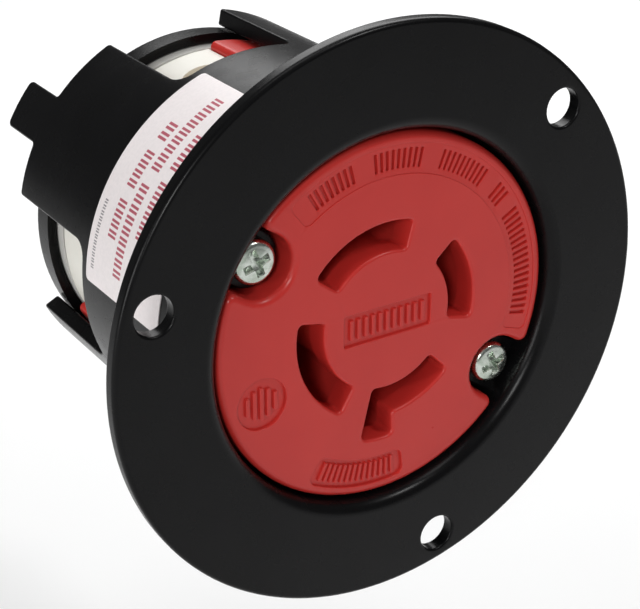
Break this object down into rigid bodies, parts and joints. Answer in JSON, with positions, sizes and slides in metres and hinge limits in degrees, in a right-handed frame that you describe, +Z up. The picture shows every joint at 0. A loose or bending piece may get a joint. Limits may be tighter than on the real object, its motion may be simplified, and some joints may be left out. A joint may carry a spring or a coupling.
{
  "type": "flanged locking power outlet",
  "caption": "Round flanged panel outlet with a recessed red face, curved locking-blade slots and windowed rear body with clamp terminals.",
  "frame": {"origin": "centre of the flange's rear face, which lies on the panel", "axes": "-Y out of the outlet's face, +Y towards the wiring end, +Z up"},
  "size_m": [0.0826, 0.0649, 0.0826],
  "materials": {
    "black_nylon": "moulded black nylon, semi-gloss with a fine matt grain",
    "red_nylon": "moulded red nylon, smooth satin gloss",
    "white_nylon": "moulded cream-white nylon, satin",
    "brass": "stamped brass, as rolled, slightly dulled",
    "zinc_steel": "zinc-plated steel with a faint green tinge",
    "green_steel": "steel with green chromate finish",
    "label_stock": "white printed film label with plain pink bars"
  },
  "bodies": {
    "root": {"flange_shell": "black_nylon", "shell_tube": "black_nylon", "front_body": "red_nylon", "terminal_plate": "white_nylon", "rear_cap": "black_nylon", "label": "label_stock", "assembly_screws": "zinc_steel", "threaded_inserts": "brass", "contact_x": "brass", "contact_y": "brass", "contact_ground": "brass", "contact_z": "brass", "terminal_block_x": "white_nylon", "terminal_block_y": "white_nylon", "terminal_block_ground": "white_nylon", "terminal_block_z": "white_nylon"},
    "screw_x": {"terminal_screw_x": "brass"},
    "clamp_x": {"clamp_plate_x": "zinc_steel"},
    "screw_y": {"terminal_screw_y": "brass"},
    "clamp_y": {"clamp_plate_y": "zinc_steel"},
    "screw_ground": {"terminal_screw_ground": "green_steel"},
    "clamp_ground": {"clamp_plate_ground": "zinc_steel"},
    "screw_z": {"terminal_screw_z": "brass"},
    "clamp_z": {"clamp_plate_z": "zinc_steel"}
  },
  "joints": [
    {"name": "clamp_slide_x", "type": "slide", "parent": "root", "child": "clamp_x", "axis": [-0.2079, 0, 0.9781], "range_m": [0, 0.004]},
    {"name": "screw_turn_x", "type": "hinge", "parent": "root", "child": "screw_x", "pos_m": [-0.00459, 0.0372, 0.02158], "axis": [-0.2079, 0, 0.9781], "range_deg": [-1830, 0]},
    {"name": "clamp_slide_y", "type": "slide", "parent": "root", "child": "clamp_y", "axis": [0.9781, 0, 0.2079], "range_m": [0, 0.004]},
    {"name": "screw_turn_y", "type": "hinge", "parent": "root", "child": "screw_y", "pos_m": [0.02158, 0.0372, 0.00459], "axis": [0.9781, 0, 0.2079], "range_deg": [-1830, 0]},
    {"name": "clamp_slide_ground", "type": "slide", "parent": "root", "child": "clamp_ground", "axis": [0.2079, 0, -0.9781], "range_m": [0, 0.004]},
    {"name": "screw_turn_ground", "type": "hinge", "parent": "root", "child": "screw_ground", "pos_m": [0.00459, 0.0372, -0.02158], "axis": [0.2079, 0, -0.9781], "range_deg": [-1830, 0]},
    {"name": "clamp_slide_z", "type": "slide", "parent": "root", "child": "clamp_z", "axis": [-0.9781, 0, -0.2079], "range_m": [0, 0.004]},
    {"name": "screw_turn_z", "type": "hinge", "parent": "root", "child": "screw_z", "pos_m": [-0.02158, 0.0372, -0.00459], "axis": [-0.9781, 0, -0.2079], "range_deg": [-1830, 0]}
  ],
  "couplings": [
    {"joint": "screw_turn_x", "follows": "clamp_slide_x", "rad_per_m": -7913.3},
    {"joint": "screw_turn_y", "follows": "clamp_slide_y", "rad_per_m": -7913.3},
    {"joint": "screw_turn_ground", "follows": "clamp_slide_ground", "rad_per_m": -7913.3},
    {"joint": "screw_turn_z", "follows": "clamp_slide_z", "rad_per_m": -7913.3}
  ]
}
